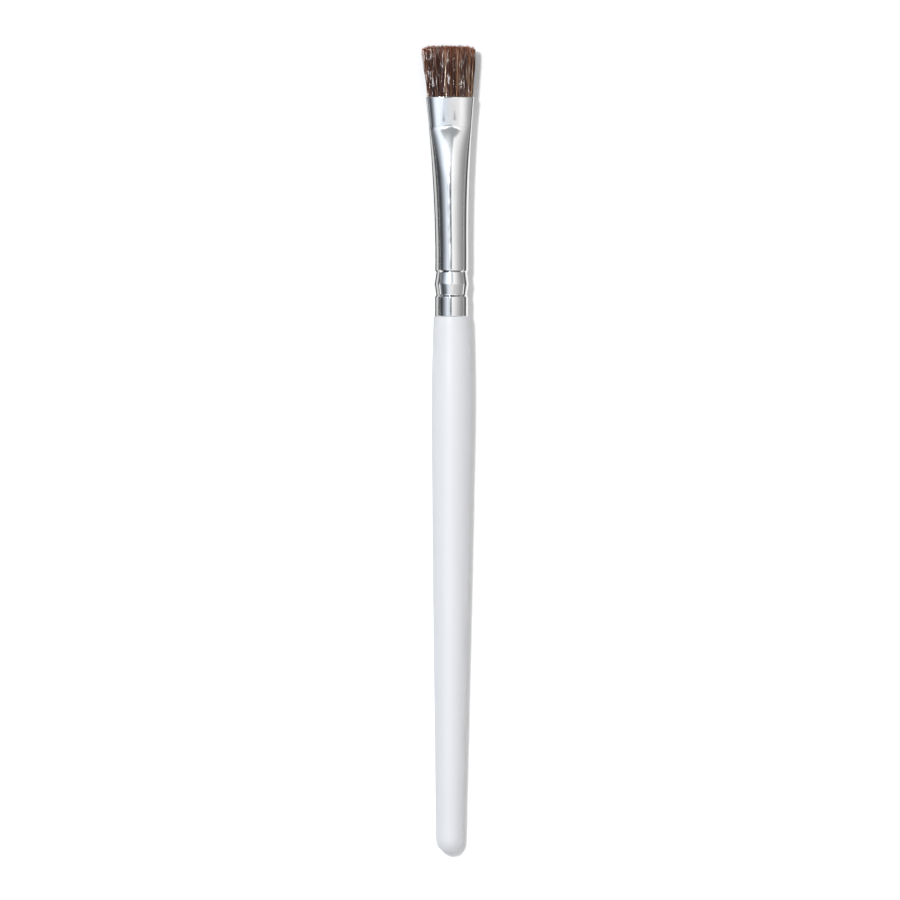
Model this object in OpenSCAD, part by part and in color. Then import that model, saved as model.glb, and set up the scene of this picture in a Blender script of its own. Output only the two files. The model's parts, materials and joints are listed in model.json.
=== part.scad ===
// Flat eyeliner brush: a turned handle, a crimped ferrule that goes from round to flat,
// a tuft of hair cut straight across, and the adhesive that holds the hair in the ferrule.
// Each piece is drawn upright, with the handle's shoulder at height 0 and the hair upwards.
// The brush is then laid down: +Y towards the hair, +Z up, with its flat face up.

/* [Handle] */
// Length of the handle below the shoulder
handle_len = 99.8; // [90:0.1:115]
// Diameter at the shoulder
shoulder_d = 6.6; // [6.4:0.05:7]
// Radius of the shoulder's edge
shoulder_round = 0.25; // [0.1:0.05:0.4]
// Diameter of the belly, the thickest stretch
belly_d = 7.22; // [6.8:0.01:8]
// Distance from the shoulder to the start of the belly
belly_from = 15; // [8:0.5:22]
// Length of the belly, which is a true cylinder
belly_len = 5; // [3:0.5:8]
// Diameter part of the way down the taper
taper_d = 6.43; // [6:0.01:6.7]
// Distance from the shoulder to that diameter
taper_at = 50; // [40:0.5:65]
// Diameter where the rounded butt begins
butt_d = 4.94; // [4:0.01:5.6]
// Length of the rounded butt
butt_round = 2.8; // [1.5:0.1:4]
// Length of the tenon inside the ferrule
tenon_len = 12; // [10:0.5:14]
// Chamfer on the tenon's end
tenon_chamfer = 0.5; // [0.2:0.1:1]

/* [Ferrule] */
// Length from the lower rim to the mouth
ferrule_len = 40.7; // [38:0.1:50]
// Diameter of the round end
ferrule_d = 6.1; // [5.8:0.05:6.3]
// Thickness of the metal
wall = 0.22; // [0.15:0.01:0.4]
// Width of the mouth
mouth_w = 8.92; // [7.5:0.02:11]
// Thickness of the flattened mouth
mouth_t = 4; // [3:0.05:4.6]
// Thickness at the crease, at the foot of the band
crease_t = 3.6; // [2.8:0.05:4.4]
// How square the flattened section is, where 2 is an ellipse
mouth_squareness = 2.4; // [2:0.1:4]
// Length of the band at the mouth
band_len = 5.5; // [3:0.1:7]
// Distance from the tenon's end to the start of the flattening
flatten_lead = 10; // [2:0.5:12]
// How far the crease at the foot of the band dips on each side of its middle
crease_dip = 0.4; // [0:0.05:0.6]
// Height of the ridge along the crease
crease_rise = 0.03; // [0:0.01:0.06]
// Height of the lower crimp's groove
crimp_low = 3.94; // [3:0.02:4.6]
// Height of the upper crimp's groove
crimp_high = 8.2; // [7.4:0.05:9]
// Width of each groove
crimp_w = 0.9; // [0.5:0.05:1.2]
// Depth of each groove
crimp_depth = 0.22; // [0.1:0.01:0.3]
// Height of the bead that is left between the grooves
bead_rise = 0.1; // [0.02:0.01:0.2]
// Sideways lean of the flattened end, in degrees
head_lean = 0.9; // [0:0.05:1.5]

/* [Tuft] */
// Length of the hair beyond the mouth
tuft_len = 9.5; // [6:0.1:16]
// Width of the hair at its cut end
tuft_w = 9.95; // [9:0.05:12]
// Thickness of the hair at its cut end
tuft_t = 3.9; // [3.2:0.05:4.6]
// Length of hair inside the ferrule
root_len = 16.7; // [12:0.1:18]
// Sideways lean of the hair, in degrees
tuft_lean = 1.6; // [0:0.1:3]
// How far the corners of the cut end lie below its middle
corner_drop = 0.3; // [0:0.05:0.8]
// Number of locks round the tuft
locks = 80; // [40:2:88]
// Depth of the valleys between the locks
lock_depth = 0.09; // [0.04:0.01:0.14]
// Unevenness of the cut
cut_ripple = 0.16; // [0:0.01:0.3]

/* [Fit] */
// Clearance between the ferrule and what it holds
fit_gap = 0.05; // [0.02:0.01:0.1]
// Length of the adhesive plug under the hair
glue_len = 5; // [3:0.5:7]

/* [Rest] */
// Distance from the shoulder down to the point where the brush balances
balance_at = 23; // [15:0.5:40]

/* [Hidden] */

// Faces round a turned surface
turned_faces = 96;
// Points round the ferrule's flattened section
section_points = 56;
// Rings along the ferrule between the tenon's end and the crease
wedge_rings = 15;
// Rings along the band
band_rings = 3;
// Steps along each stretch of the handle's profile
swell_steps = 7;
taper_steps = 10;
round_steps = 8;

shoulder_r = shoulder_d / 2;
belly_r = belly_d / 2;
belly_end = belly_from + belly_len;
taper_r = taper_d / 2;
butt_r = butt_d / 2;
butt_from = handle_len - butt_round;
// Steepness of the profile where its stretches meet
swell_slope = 1.5 * (belly_r - shoulder_r) / belly_from;
belly_slope = (taper_r - belly_r) / (taper_at - belly_end);
taper_slope = (butt_r - belly_r) / (butt_from - belly_end);
butt_slope = (butt_r - taper_r) / (butt_from - taper_at);

ferrule_r = ferrule_d / 2;
crease_at = ferrule_len - band_len;
flatten_from = tenon_len + flatten_lead;
// How the width grows towards the mouth, and how the thickness and the squareness follow
flare_power = 2;
flatten_power = 3;
square_power = 5;
// How far points move round the flat section towards its front and back, in degrees
flat_spread = 14;
// Share of the half width that the crease spans, and how far along it the ridge fades out
crease_span = 0.78;
ridge_half_len = 0.5;

root_at = ferrule_len - root_len;
tip_at = ferrule_len + tuft_len;
// Places of the tuft's rings along the root and along the free hair
root_shares = [0, 0.45, 0.8, 1, 2];
hair_shares = [0.06, 0.25, 0.5, 0.75, 1];
// Sizes of the rings on the cut end, as shares of its outline
cut_shares = [0.8, 0.5, 0.2];
// How much higher the middle of the cut end is than its rim
cut_crown = 0.25;
lock_points = 2;

// Value that passes through r0 and r1 with the given slopes, u from 0 to 1
function blend_curve(r0, r1, slope0, slope1, len, u) =
    r0 * (2 * pow(u, 3) - 3 * pow(u, 2) + 1)
    + r1 * (3 * pow(u, 2) - 2 * pow(u, 3))
    + len * slope0 * (pow(u, 3) - 2 * pow(u, 2) + u)
    + len * slope1 * (pow(u, 3) - pow(u, 2));

// Radius of the handle at a distance below the shoulder
function handle_r(s) =
    s < belly_from
        ? blend_curve(shoulder_r, belly_r, swell_slope, 0, belly_from, s / belly_from)
    : s <= belly_end
        ? belly_r
    : s < taper_at
        ? blend_curve(belly_r, taper_r, belly_slope, taper_slope, taper_at - belly_end,
            (s - belly_end) / (taper_at - belly_end))
    : blend_curve(taper_r, butt_r, taper_slope, butt_slope, butt_from - taper_at,
            (s - taper_at) / (butt_from - taper_at));

// Outline of the crimped stretch of tube, set in from the ferrule's outside.
// rise is the height of the bead.
function crimp_outline(inset, rise) =
    let (r = ferrule_r - inset, half_w = crimp_w / 2)
    [
        [r, crimp_low - half_w],
        [r - crimp_depth, crimp_low],
        [r, crimp_low + half_w],
        [r + rise, (crimp_low + crimp_high) / 2],
        [r, crimp_high - half_w],
        [r - crimp_depth, crimp_high],
        [r, crimp_high + half_w],
    ];

// Handle's outline from the middle of the tenon's end to the middle of the butt
function tenon_outline() =
    let (inset = wall + fit_gap, r = ferrule_r - inset)
    concat(
        [[0, tenon_len], [r - tenon_chamfer, tenon_len], [r, tenon_len - tenon_chamfer]],
        reverse(crimp_outline(inset, 0)),
        [[r, 0]]
    );

function shoulder_outline() =
    let (edge_r = handle_r(shoulder_round) - shoulder_round)
    [
        for (i = [0 : round_steps])
            let (a = 90 * i / round_steps)
            [edge_r + shoulder_round * sin(a), -shoulder_round * (1 - cos(a))]
    ];

function body_outline() = concat(
    [
        for (i = [1 : swell_steps])
            let (s = shoulder_round + (belly_from - shoulder_round) * i / swell_steps)
            [handle_r(s), -s]
    ],
    [
        for (i = [0 : taper_steps])
            let (s = belly_end + (taper_at - belly_end) * i / taper_steps)
            [handle_r(s), -s]
    ],
    [
        for (i = [1 : taper_steps])
            let (s = taper_at + (butt_from - taper_at) * i / taper_steps)
            [handle_r(s), -s]
    ],
    [
        for (i = [1 : round_steps])
            let (a = 90 * i / round_steps)
            [butt_r * cos(a), -butt_from - butt_round * sin(a)]
    ]
);

function reverse(list) = [for (i = [len(list) - 1 : -1 : 0]) list[i]];

// Share of the way from 0 to 1 that x is between low and high
function share(x, low, high) = max(0, min(1, (x - low) / (high - low)));

// Point in the direction a on a rounded square of half width 1. An ellipse has squareness 2.
// spread moves points from the square's sides to its front and back.
function unit_section(a, squareness, spread) =
    let (
        e = a + spread * sin(2 * a),
        reach = pow(pow(abs(cos(e)), squareness) + pow(abs(sin(e)), squareness), -1 / squareness)
    )
    [reach * cos(e), reach * sin(e)];

// Height of the crease in the direction a: two shallow dips that meet in the middle
function crease_height(a) =
    let (across = abs(unit_section(a, mouth_squareness, flat_spread)[0]) / crease_span)
    crease_at - crease_dip * sin(180 * min(1, across));

// How far the flattened end leans to the side at height h
function lean_x(h) = -tan(head_lean) * max(0, h - tenon_len);

// Point on the ferrule's section in the direction a at height h, set in from its outside
function ferrule_point(a, h, inset) =
    let (
        top = crease_height(a),
        flatten = share(h, flatten_from, top),
        flare = share(h, tenon_len, ferrule_len),
        ridge = crease_rise * (1 - share(abs(h - top), 0, ridge_half_len)),
        half_w = ferrule_r + (mouth_w / 2 - ferrule_r) * pow(flare, flare_power),
        wedge_t = ferrule_r + (crease_t / 2 - ferrule_r) * pow(flatten, flatten_power),
        half_t = wedge_t + (mouth_t - crease_t) / 2 * share(h, top, ferrule_len) + ridge,
        squareness = 2 + (mouth_squareness - 2) * pow(flatten, square_power),
        unit = unit_section(a, squareness, flat_spread * flatten)
    )
    [lean_x(h) + (half_w - inset) * unit[0], (half_t - inset) * unit[1], h];

function ferrule_ring(h, inset) =
    [for (i = [0 : section_points - 1]) ferrule_point(360 * i / section_points, h, inset)];

// Round ring of radius r at height h
function round_ring(r, h) =
    [
        for (i = [0 : section_points - 1])
            let (a = 360 * i / section_points)
            [r * cos(a), r * sin(a), h]
    ];

// Ring at a share of the way from the tenon's end to the crease, or from the crease to the mouth
function wedge_ring(u, inset) =
    [
        for (i = [0 : section_points - 1])
            let (a = 360 * i / section_points, top = crease_height(a))
            ferrule_point(a, tenon_len + (top - tenon_len) * u, inset)
    ];

function band_ring(u, inset) =
    [
        for (i = [0 : section_points - 1])
            let (a = 360 * i / section_points, foot = crease_height(a))
            ferrule_point(a, foot + (ferrule_len - foot) * u, inset)
    ];

// Rings of one side of the metal, from the lower rim to the mouth
function ferrule_rings(inset) = concat(
    [round_ring(ferrule_r - inset, 0)],
    [for (p = crimp_outline(inset, bead_rise)) round_ring(p[0], p[1])],
    [for (i = [0 : wedge_rings - 1]) wedge_ring(i / wedge_rings, inset)],
    [wedge_ring(1 - ridge_half_len / (crease_at - tenon_len), inset), wedge_ring(1, inset)],
    [band_ring(ridge_half_len / band_len, inset)],
    [for (i = [1 : band_rings]) band_ring(i / band_rings, inset)]
);

// Closed shell through a loop of rings, each of the same number of points
module ring_shell(rings) {
    count = len(rings);
    sides = len(rings[0]);
    faces = [
        for (k = [0 : count - 1])
            for (i = [0 : sides - 1])
                let (
                    j = (i + 1) % sides,
                    low = k * sides,
                    high = ((k + 1) % count) * sides
                )
                each [[low + i, high + i, high + j], [low + i, high + j, low + j]]
    ];
    polyhedron(points = [for (ring = rings) each ring], faces = faces, convexity = 6);
}

// Solid through a stack of rings, closed by a face at the foot and one at the head
module ring_solid(rings) {
    count = len(rings);
    sides = len(rings[0]);
    walls = [
        for (k = [0 : count - 2])
            for (i = [0 : sides - 1])
                let (j = (i + 1) % sides, low = k * sides, high = (k + 1) * sides)
                each [[low + i, high + i, high + j], [low + i, high + j, low + j]]
    ];
    foot = [for (i = [0 : sides - 1]) i];
    head = [for (i = [sides - 1 : -1 : 0]) (count - 1) * sides + i];
    polyhedron(
        points = [for (ring = rings) each ring],
        faces = concat(walls, [foot, head]),
        convexity = 6
    );
}

// Number between -1 and 1 that looks random but is always the same for the same lock
function ripple(i) = sin(222.5 * i) * cos(97.3 * i);

// Direction, depth and height offset of each of the tuft's outline points
tuft_sides = locks * lock_points;
function lock_angle(i) = 360 * i / tuft_sides;
function lock_valley(i) = i % lock_points == 0 ? 0 : lock_depth * (1 + ripple(i) / 2);
function lock_cut(i) = i % lock_points == 0 ? cut_ripple * ripple(i + 1) : -cut_ripple;

// Ring of the root, for u from 0 at its foot to 1 along the crease and 2 at the mouth
function root_ring(u) =
    [
        for (i = [0 : tuft_sides - 1])
            let (
                top = crease_height(lock_angle(i)),
                h = u < 1 ? root_at + (top - root_at) * u : top + (ferrule_len - top) * (u - 1)
            )
            ferrule_point(lock_angle(i), h, wall + fit_gap + lock_valley(i))
    ];

// Ring of the free hair at a share of its length, shrunk about the middle by the given share
function hair_ring(u, shrink, crown) =
    let (
        half_w = mouth_w / 2 - wall - fit_gap + (tuft_w / 2 - (mouth_w / 2 - wall - fit_gap)) * u,
        half_t = mouth_t / 2 - wall - fit_gap + (tuft_t / 2 - (mouth_t / 2 - wall - fit_gap)) * u,
        middle_x = lean_x(ferrule_len) - tan(tuft_lean) * tuft_len * u
    )
    [
        for (i = [0 : tuft_sides - 1])
            let (
                unit = unit_section(lock_angle(i), mouth_squareness, flat_spread),
                valley = lock_valley(i),
                x = shrink * (half_w - valley) * unit[0],
                y = shrink * (half_t - valley) * unit[1],
                uneven = lock_cut(i) - corner_drop * pow(abs(x) / half_w, 4) + crown
            )
            [middle_x + x, y, ferrule_len + tuft_len * u + uneven * pow(u, 4) * shrink]
    ];

// The brush rests where its balance point is over the handle's side, so the resting tilt is
// the side's slope there, and the lift comes from the lowest point of the tilted outline
slope_step = 0.5;
tilt = atan((handle_r(balance_at - slope_step) - handle_r(balance_at + slope_step)) / (2 * slope_step));
lift = max([for (p = body_outline()) p[0] * cos(tilt) - p[1] * sin(tilt)]);
// Half the difference between the lengths on each side of the shoulder
middle_y = (handle_len - tip_at - cut_crown) / 2;
// Sideways place of the handle's axis, which centres the whole brush on the origin
axis_x = -lean_x(ferrule_len) + tan(tuft_lean) * tuft_len;

module laid_down() {
    translate([axis_x, middle_y * cos(tilt), lift])
        rotate([tilt - 90, 0, 0])
            children();
}

module handle() {
    color("whitesmoke")
        laid_down()
            rotate_extrude($fn = turned_faces)
                polygon(concat(tenon_outline(), shoulder_outline(), body_outline()));
}

module ferrule() {
    color("silver")
        laid_down()
            ring_shell(concat(ferrule_rings(0), reverse(ferrule_rings(wall))));
}

module bristles() {
    color("saddlebrown")
        laid_down()
            ring_solid(concat(
                [for (u = root_shares) root_ring(u)],
                [for (u = hair_shares) hair_ring(u, 1, 0)],
                [for (shrink = cut_shares) hair_ring(1, shrink, cut_crown)]
            ));
}

module root_glue() {
    color("goldenrod")
        laid_down()
            ring_solid([
                for (u = [0, 0.5, 1])
                    ferrule_ring(root_at - glue_len * (1 - u), wall + fit_gap)
            ]);
}

handle();
ferrule();
bristles();
root_glue();
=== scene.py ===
"""Flat eyeliner brush: a lacquered handle, a crimped metal ferrule and a tuft of cut hair.

Each piece is worked out upright, in metres, with the handle's shoulder at height 0 and the
hair upwards, and is then laid down along the axis of the frame's handle_grip mount.
"""

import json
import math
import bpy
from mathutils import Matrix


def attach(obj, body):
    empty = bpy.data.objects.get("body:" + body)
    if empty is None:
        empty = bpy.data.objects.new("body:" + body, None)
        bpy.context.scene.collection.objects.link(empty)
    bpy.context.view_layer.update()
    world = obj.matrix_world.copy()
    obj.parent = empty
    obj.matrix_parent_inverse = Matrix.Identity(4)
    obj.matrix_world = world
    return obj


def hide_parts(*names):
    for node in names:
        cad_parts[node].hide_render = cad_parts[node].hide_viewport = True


bl_info = {
    "name": "Flat Eyeliner Brush",
    "version": (1, 0, 0),
    "blender": (4, 5, 0),
    "location": "View3D > Sidebar > Brush",
    "description": "Builds a flat eyeliner brush around its packed frame",
    "category": "Add Mesh",
}

import bpy
import numpy as np
from bpy.props import FloatProperty, FloatVectorProperty, IntProperty, PointerProperty

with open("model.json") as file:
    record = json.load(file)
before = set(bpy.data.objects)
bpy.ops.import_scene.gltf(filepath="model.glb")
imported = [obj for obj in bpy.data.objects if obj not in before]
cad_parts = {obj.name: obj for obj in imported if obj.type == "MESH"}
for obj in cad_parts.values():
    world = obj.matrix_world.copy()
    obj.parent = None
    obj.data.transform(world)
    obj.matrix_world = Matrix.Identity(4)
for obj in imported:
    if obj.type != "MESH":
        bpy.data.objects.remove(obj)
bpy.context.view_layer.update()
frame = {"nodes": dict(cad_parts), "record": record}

MM = 0.001
GRIP = next(m for m in frame["record"]["mounts"] if m["name"] == "handle_grip")


# Settings

def length_setting(name, default, description):
    return FloatProperty(name=name, description=description, default=default, unit="LENGTH")


def colour_setting(name, default, description):
    return FloatVectorProperty(
        name=name, description=description, default=default, subtype="COLOR", min=0, max=1)


class HandleSettings(bpy.types.PropertyGroup):
    """Sizes and colour of the turned handle"""

    length: length_setting("Length", 99.8 * MM, "From the shoulder to the end of the butt")
    shoulder: length_setting("Shoulder", 6.6 * MM, "Diameter at the shoulder")
    shoulder_round: length_setting("Shoulder rounding", 0.25 * MM, "Radius of the shoulder's edge")
    belly: length_setting("Belly", 7.22 * MM, "Diameter of the thickest stretch")
    belly_from: length_setting("Belly from", 15 * MM, "Distance from the shoulder to the belly")
    belly_length: length_setting("Belly length", 5 * MM, "Length of the parallel belly")
    taper: length_setting("Taper", 6.43 * MM, "Diameter part of the way down the taper")
    taper_at: length_setting("Taper at", 50 * MM, "Distance from the shoulder to that diameter")
    butt: length_setting("Butt", 4.94 * MM, "Diameter where the rounded end begins")
    butt_round: length_setting("Butt rounding", 2.8 * MM, "Length of the rounded end")
    tenon: length_setting("Tenon", 12 * MM, "Length of the tenon inside the ferrule")
    colour: colour_setting("Lacquer", (0.765, 0.77, 0.79), "Colour of the lacquer")


class FerruleSettings(bpy.types.PropertyGroup):
    """Sizes and colour of the crimped and flattened ferrule"""

    length: length_setting("Length", 40.7 * MM, "From the lower rim to the mouth")
    diameter: length_setting("Diameter", 6.1 * MM, "Diameter of the round end")
    wall: length_setting("Wall", 0.22 * MM, "Thickness of the metal")
    mouth_width: length_setting("Mouth width", 8.92 * MM, "Width of the flattened mouth")
    mouth_thickness: length_setting(
        "Mouth thickness", 4.0 * MM, "Thickness of the flattened mouth")
    crease_thickness: length_setting(
        "Crease thickness", 3.6 * MM, "Thickness at the crease below the band")
    squareness: FloatProperty(
        name="Squareness", description="How square the mouth is, where 2 is an ellipse",
        default=2.4, min=2, max=6)
    band: length_setting("Band", 5.5 * MM, "Length of the flattened band at the mouth")
    crimp_low: length_setting("Lower crimp", 3.94 * MM, "Height of the lower crimp")
    crimp_high: length_setting("Upper crimp", 8.2 * MM, "Height of the upper crimp")
    crimp_depth: length_setting("Crimp depth", 0.22 * MM, "Depth of each crimp")
    bead: length_setting("Bead", 0.1 * MM, "Height of the bead between the crimps")
    lean: FloatProperty(
        name="Lean", description="Sideways lean of the flattened end",
        default=math.radians(0.9), unit="ROTATION")
    colour: colour_setting("Metal", (0.92, 0.925, 0.93), "Colour of the polished metal")


class TuftSettings(bpy.types.PropertyGroup):
    """Sizes, number and colours of the hairs"""

    length: length_setting("Length", 9.3 * MM, "Length of the hair beyond the mouth")
    width: length_setting("Width", 9.95 * MM, "Width at the cut end")
    thickness: length_setting("Thickness", 3.9 * MM, "Thickness at the cut end")
    root: length_setting("Root", 16.7 * MM, "Length of hair inside the ferrule")
    lean: FloatProperty(
        name="Lean", description="Sideways lean of the hair",
        default=math.radians(1.6), unit="ROTATION")
    corner_drop: length_setting(
        "Corner drop", 0.42 * MM, "How far the corners lie below the middle of the cut")
    hair: length_setting("Hair", 0.11 * MM, "Diameter of one hair")
    spacing: length_setting("Spacing", 0.118 * MM, "Distance between hairs at the mouth")
    locks: IntProperty(
        name="Locks", description="Number of locks that the hairs gather in",
        default=800, min=10, max=2000)
    seed: IntProperty(name="Seed", description="Picks another arrangement of hairs", default=7)
    dark: colour_setting("Dark hair", (0.03, 0.008, 0.005), "Colour of the darkest hairs")
    middle: colour_setting("Brown hair", (0.1, 0.032, 0.017), "Colour of most hairs")
    pale: colour_setting("Pale hair", (0.5, 0.3, 0.17), "Colour of the palest hairs")


class StageSettings(bpy.types.PropertyGroup):
    """Floor, lamp, studio light and camera"""

    floor: length_setting("Floor", 6.0, "Side of the square floor")
    floor_colour: colour_setting("Floor colour", (0.99, 0.99, 0.99), "Colour of the floor")
    lamp_power: FloatProperty(
        name="Lamp", description="Power of the main lamp in watts", default=6.0, min=0)
    lamp_distance: length_setting("Lamp distance", 1.0, "Distance from the brush to the lamp")
    lamp_size: length_setting("Lamp size", 0.115, "Diameter of the lamp")
    studio_strength: FloatProperty(
        name="Studio", description="Strength of the soft light all round", default=1.0, min=0)
    camera_height: length_setting("Camera height", 1.2, "Height of the camera above the floor")
    frame_width: length_setting(
        "Frame width", 167.25 * MM, "Width that the picture shows at the brush's axis")


# Shapes, upright and in metres

def blend_curve(start, end, start_slope, end_slope, span, u):
    """Value that goes from start to end with the given slopes, for u from 0 to 1."""
    return (
        start * (2 * u**3 - 3 * u**2 + 1)
        + end * (3 * u**2 - 2 * u**3)
        + span * start_slope * (u**3 - 2 * u**2 + u)
        + span * end_slope * (u**3 - u**2)
    )


def share(x, low, high):
    """Share of the way from low to high that x is, kept between 0 and 1."""
    return np.clip((x - low) / (high - low), 0, 1)


def handle_radius(s, distance):
    """Radius of the handle at distances below the shoulder."""
    shoulder, belly, taper, butt = s.shoulder / 2, s.belly / 2, s.taper / 2, s.butt / 2
    belly_end = s.belly_from + s.belly_length
    butt_from = s.length - s.butt_round
    swell_slope = 1.5 * (belly - shoulder) / s.belly_from
    belly_slope = (taper - belly) / (s.taper_at - belly_end)
    taper_slope = (butt - belly) / (butt_from - belly_end)
    butt_slope = (butt - taper) / (butt_from - s.taper_at)
    swell = blend_curve(
        shoulder, belly, swell_slope, 0, s.belly_from, share(distance, 0, s.belly_from))
    upper = blend_curve(
        belly, taper, belly_slope, taper_slope, s.taper_at - belly_end,
        share(distance, belly_end, s.taper_at))
    lower = blend_curve(
        taper, butt, taper_slope, butt_slope, butt_from - s.taper_at,
        share(distance, s.taper_at, butt_from))
    return np.select(
        [distance < s.belly_from, distance <= belly_end, distance < s.taper_at],
        [swell, belly, upper], lower)


def unit_section(angle, squareness, spread):
    """Points in the given directions on a rounded square of half width 1."""
    e = angle + spread * np.sin(2 * angle)
    power = np.abs(np.cos(e)) ** squareness + np.abs(np.sin(e)) ** squareness
    reach = power ** (-1 / squareness)
    return reach * np.cos(e), reach * np.sin(e)


# How the ferrule's width grows, and how its thickness and its squareness follow
FLARE_POWER = 2
FLATTEN_POWER = 3
SQUARE_POWER = 5
FLATTEN_LEAD = 10 * MM
# How far points move round the flat section towards its front and back
FLAT_SPREAD = math.radians(14)
# The crease: how far it dips, how wide the peak in its middle is, and its ridge
CREASE_DIP = 0.32 * MM
CREASE_PEAK = 0.17
CREASE_RISE = 0.025 * MM
RIDGE_HALF_LENGTH = 0.32 * MM
# Length of the step down into each crimp, and how much its corners are rounded
CRIMP_STEP = 0.3 * MM
CRIMP_ROUNDING = 0.06 * MM
CRIMP_SAMPLES = 9
# How far the mouth's rim is rounded, along and into the metal
RIM_LENGTH = 0.12 * MM
RIM_DEPTH = 0.09 * MM
FIT_GAP = 0.05 * MM


class FerruleForm:
    """The ferrule's shape, worked out from its settings and the handle's tenon."""

    def __init__(self, settings, tenon):
        self.s = settings
        self.tenon = tenon
        self.radius = settings.diameter / 2
        self.crease = settings.length - settings.band

    def crease_height(self, angle):
        """Height of the crease in a direction: low, with a peak in the middle."""
        across = unit_section(angle, self.s.squareness, FLAT_SPREAD)[0]
        return self.crease - CREASE_DIP * (1 - np.exp(-(across / CREASE_PEAK) ** 2))

    def lean(self, height):
        """Sideways place of the ferrule's middle at a height."""
        return -math.tan(self.s.lean) * np.maximum(0, height - self.tenon)

    def crimp_rise(self, height):
        """How far the crimped stretch stands out of the tube, or into it."""
        s = self.s
        stations = [s.crimp_low - CRIMP_STEP, s.crimp_low, (s.crimp_low + s.crimp_high) / 2,
                    s.crimp_high, s.crimp_high + CRIMP_STEP]
        rises = [0, -s.crimp_depth, s.bead, -s.crimp_depth, 0]
        shifts = CRIMP_ROUNDING * np.linspace(-1, 1, CRIMP_SAMPLES)
        return np.mean([np.interp(height + d, stations, rises) for d in shifts], axis=0)

    def half_thickness(self, height, crease):
        """Half the thickness at a height, for a crease at the given height."""
        s = self.s
        flatten = share(height, self.tenon + FLATTEN_LEAD, crease)
        band = share(height, crease, s.length)
        wedge = self.radius + (s.crease_thickness / 2 - self.radius) * flatten**FLATTEN_POWER
        flare = (s.mouth_thickness - s.crease_thickness) / 2 * band
        ridge = CREASE_RISE * (1 - share(np.abs(height - crease), 0, RIDGE_HALF_LENGTH)) ** 2
        return wedge + flare + ridge, flatten

    def half_width(self, height):
        flare = share(height, self.tenon, self.s.length)
        return self.radius + (self.s.mouth_width / 2 - self.radius) * flare**FLARE_POWER

    def points(self, angle, height, inset):
        """Points on the section in given directions and at given heights."""
        half_t, flatten = self.half_thickness(height, self.crease_height(angle))
        squareness = 2 + (self.s.squareness - 2) * flatten**SQUARE_POWER
        x, y = unit_section(angle, squareness, FLAT_SPREAD * flatten)
        rise = self.crimp_rise(height) - inset
        return np.stack([
            self.lean(height) + (self.half_width(height) + rise) * x,
            (half_t + rise) * y,
            height + 0 * angle,
        ], axis=-1)


def laid_down(points):
    """Upright points brought into the frame, along the axis of the handle_grip mount."""
    s = bpy.context.scene.brush_handle
    along = -np.array(GRIP["axis"])
    across = np.array([1.0, 0.0, 0.0])
    behind = np.cross(along, across)
    base = np.array(GRIP["pos_m"]) + along * (s.belly_from + s.belly_length / 2)
    x, y, z = (points[..., i, None] for i in range(3))
    return base + x * across + y * behind + z * along


# Meshes

def add_piece(name, points, faces, material):
    """Makes a mesh object of the brush from upright points, and lets it ride on the frame."""
    mesh = bpy.data.meshes.new(name)
    mesh.from_pydata(laid_down(points).reshape(-1, 3).tolist(), [], faces)
    mesh.polygons.foreach_set("use_smooth", [True] * len(mesh.polygons))
    mesh.materials.append(material)
    mesh.update()
    piece = link_object(name, mesh)
    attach(piece, "root")
    return piece


def link_object(name, data):
    """Makes an object of the data and puts it into the scene."""
    made = bpy.data.objects.new(name, data)
    bpy.context.scene.collection.objects.link(made)
    return made


def set_attribute(piece, name, values):
    attribute = piece.data.attributes.new(name, "FLOAT", "POINT")
    attribute.data.foreach_set("value", np.asarray(values, np.float32).ravel())


def grid_faces(rings, sides, closed=False):
    """Quads between a stack of rings. A closed stack joins its last ring to its first."""
    steps = rings if closed else rings - 1
    low = (np.arange(steps) * sides)[:, None]
    high = (((np.arange(steps) + 1) % rings) * sides)[:, None]
    i = np.arange(sides)[None, :]
    j = (i + 1) % sides
    return np.stack([low + i, low + j, high + j, high + i], axis=-1).reshape(-1, 4).tolist()


def directions(count):
    return np.linspace(0, 2 * math.pi, count, endpoint=False)


# Materials

def feed(tree, socket, value):
    """Links a socket to another socket, or sets it to a value."""
    if isinstance(value, bpy.types.NodeSocket):
        tree.links.new(value, socket)
    elif socket.type == "RGBA" and len(value) == 3:
        socket.default_value = (*value, 1)
    else:
        socket.default_value = value


def add_node(tree, kind, **values):
    """Adds a node. Values whose names are sockets set or link them, others set the node."""
    node = tree.nodes.new(kind)
    for name, value in values.items():
        socket = node.inputs.get(name.replace("_", " "))
        if socket is None:
            setattr(node, name, value)
        else:
            feed(tree, socket, value)
    return node


def add_math(tree, operation, *values):
    """Adds a math node on up to three values or sockets and returns its output."""
    node = tree.nodes.new("ShaderNodeMath")
    node.operation = operation
    for socket, value in zip(node.inputs, values):
        feed(tree, socket, value)
    return node.outputs[0]


def add_ramp(tree, factor, stops):
    """Adds a colour ramp with the given stops of place and colour and returns its output."""
    node = add_node(tree, "ShaderNodeValToRGB", Fac=factor)
    ramp = node.color_ramp
    while len(ramp.elements) < len(stops):
        ramp.elements.new(1)
    for element, (place, colour) in zip(ramp.elements, stops):
        element.position = place
        element.color = (*colour, 1)
    return node.outputs["Color"]


def add_mix(tree, factor, first, second, blend="MIX"):
    """Adds a colour mix and returns its output."""
    node = tree.nodes.new("ShaderNodeMix")
    node.data_type = "RGBA"
    node.blend_type = blend
    for socket, value in zip((node.inputs[0], node.inputs[6], node.inputs[7]),
                             (factor, first, second)):
        feed(tree, socket, value)
    return node.outputs[2]


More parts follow.
